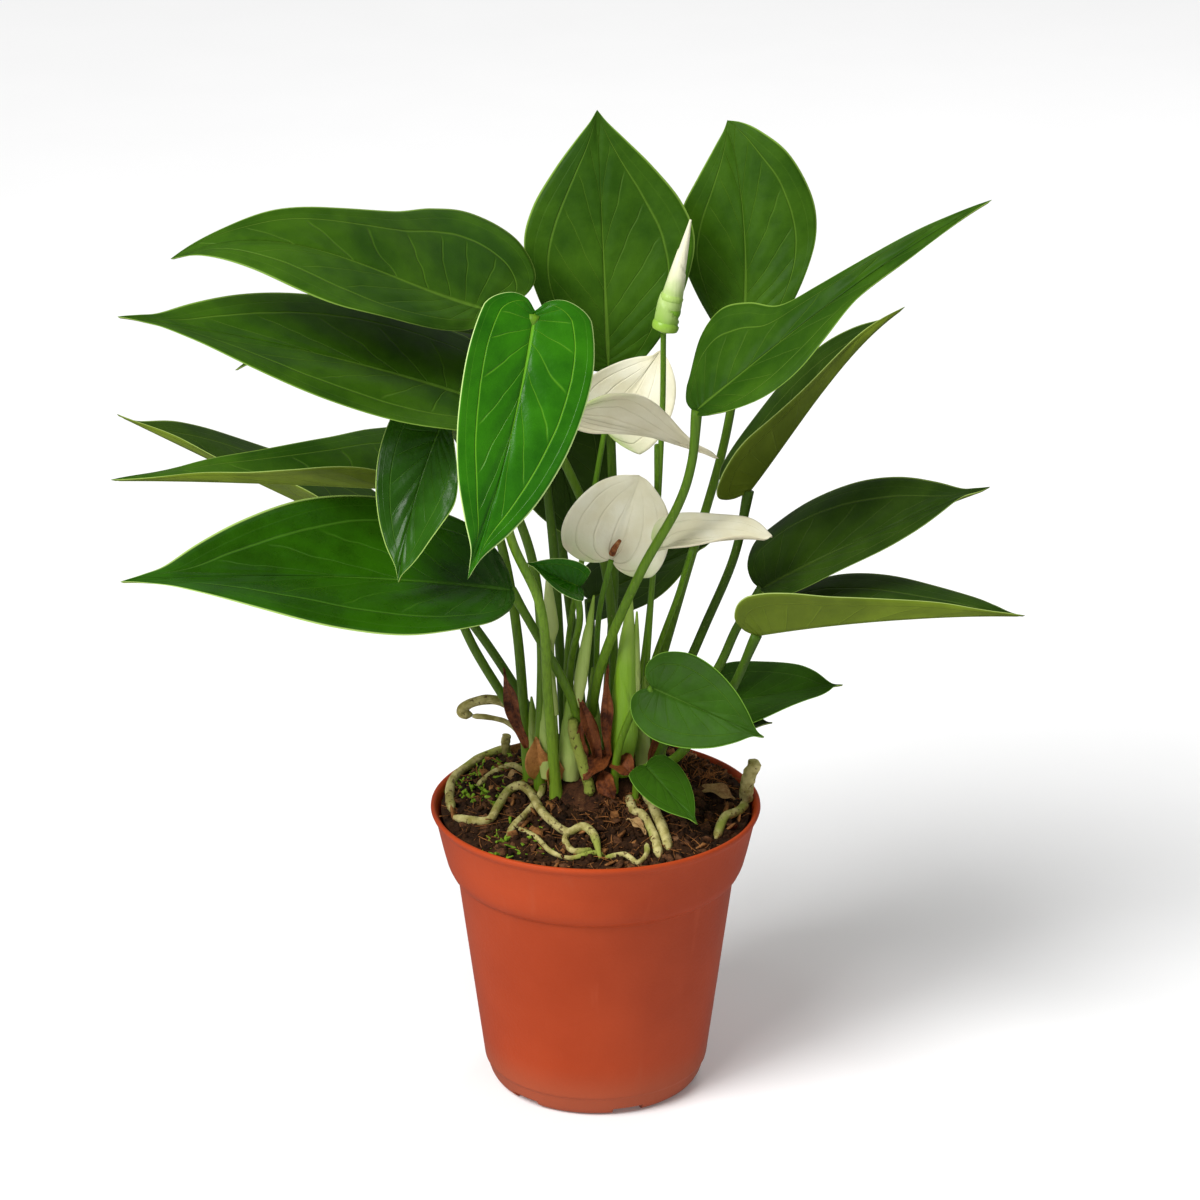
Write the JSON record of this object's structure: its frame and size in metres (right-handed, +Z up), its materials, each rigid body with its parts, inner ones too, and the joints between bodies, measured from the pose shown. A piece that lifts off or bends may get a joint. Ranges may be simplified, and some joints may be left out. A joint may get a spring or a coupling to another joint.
{
  "type": "potted anthurium",
  "caption": "Potted anthurium: heart-shaped glossy leaves and white spathes on slender stalks, rising from a crown in a tapered terracotta-coloured plastic pot.",
  "frame": {"origin": "on the pot's axis, on the flat disc of the underside that the pot stands on", "axes": "+Z up along the pot's axis; -Y towards the front of the plant, +X to its right"},
  "size_m": [0.2882, 0.1477, 0.3101],
  "materials": {
    "pot_plastic": "satin moulded plastic, terracotta colour",
    "potting_mix": "damp bark, peat and coir",
    "crown": "fibrous old leaf bases",
    "leaf": "glossy dark green leaf",
    "leaf_young": "glossy bright green young leaf",
    "stalk": "smooth green stalk",
    "spathe": "waxy cream spathe",
    "sheath": "thin pale sheath",
    "root": "rough corky root"
  },
  "bodies": {
    "root": {"pot": "pot_plastic", "potting_mix": "potting_mix", "crown": "crown", "leaf_front_heart": "leaf_young", "stalk_front_heart": "stalk", "leaf_upper_left": "leaf", "stalk_upper_left": "stalk", "leaf_mid_left": "leaf", "stalk_mid_left": "stalk", "leaf_hanging_left": "leaf", "stalk_hanging_left": "stalk", "leaf_side_left_far": "leaf", "stalk_side_left_far": "stalk", "leaf_side_left": "leaf", "stalk_side_left": "stalk", "leaf_low_left": "leaf", "stalk_low_left": "stalk", "leaf_top_centre": "leaf", "stalk_top_centre": "stalk", "leaf_top_right": "leaf", "stalk_top_right": "stalk", "leaf_upper_right": "leaf", "stalk_upper_right": "stalk", "leaf_folded_right": "leaf", "stalk_folded_right": "stalk", "leaf_mid_right": "leaf", "stalk_mid_right": "stalk", "leaf_lower_right": "leaf", "stalk_lower_right": "stalk", "leaf_small_right": "leaf", "stalk_small_right": "stalk", "leaf_round_front": "leaf", "stalk_round_front": "stalk", "leaf_soil_leaf": "leaf", "stalk_soil_leaf": "stalk", "leaf_low_back_right": "leaf", "stalk_low_back_right": "stalk", "leaf_back_left": "leaf", "stalk_back_left": "stalk", "leaf_behind_stalks": "leaf", "stalk_behind_stalks": "stalk", "leaf_behind_flowers": "leaf", "stalk_behind_flowers": "stalk", "spathe_back": "spathe", "stalk_spathe_back": "stalk", "spathe_front": "spathe", "stalk_spathe_front": "stalk", "spathe_round": "spathe", "stalk_spathe_round": "stalk", "spathe_side": "spathe", "stalk_spathe_side": "stalk", "flower_bud": "spathe", "stalk_flower_bud": "stalk", "young_leaf": "leaf_young", "stalk_young_leaf": "stalk", "sheath_large": "sheath", "young_bud": "spathe", "root_rim_left": "root", "root_front": "root", "root_right": "root"}
  },
  "joints": []
}
